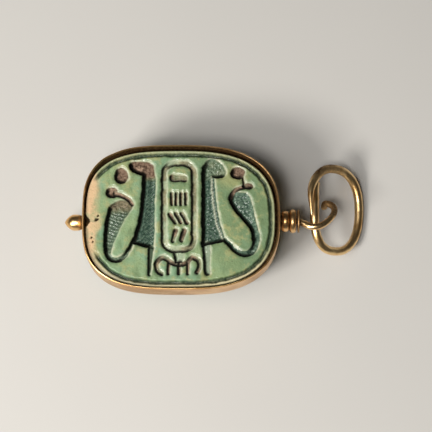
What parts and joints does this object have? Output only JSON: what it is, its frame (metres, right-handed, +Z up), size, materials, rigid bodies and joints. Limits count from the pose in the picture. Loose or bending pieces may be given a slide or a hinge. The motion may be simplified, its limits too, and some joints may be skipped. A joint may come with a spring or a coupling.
{
  "type": "scarab amulet",
  "caption": "Carved beetle amulet of green glazed stone in a gold band, lying on its back, with a pin, a swivel loop and a wire ring.",
  "frame": {"origin": "middle of the small worn flat on the highest part of the beetle's back, which is what the amulet lies on", "axes": "+X along the pin towards the ring, +Z up out of the carved base, +Y towards the top of the carved figures"},
  "size_m": [0.0307, 0.0148, 0.0076],
  "materials": {
    "glazed_stone": "worn pale green glaze over soft stone, darker in the cuts, cream where it is rubbed",
    "setting_gold": "old gold, polished along the lip and brown in the corners",
    "pin_gold": "old reddish gold, rubbed bright",
    "ring_gold": "yellow gold wire, satin"
  },
  "bodies": {
    "mounted_stone": {"scarab": "glazed_stone", "setting": "setting_gold"},
    "swivel_pin": {"pin": "pin_gold", "washer": "pin_gold", "ring": "ring_gold"}
  },
  "joints": [
    {"name": "swivel", "type": "hinge", "parent": "mounted_stone", "child": "swivel_pin", "pos_m": [0, 0, 0.0048], "axis": [1, 0, 0], "continuous": true}
  ]
}
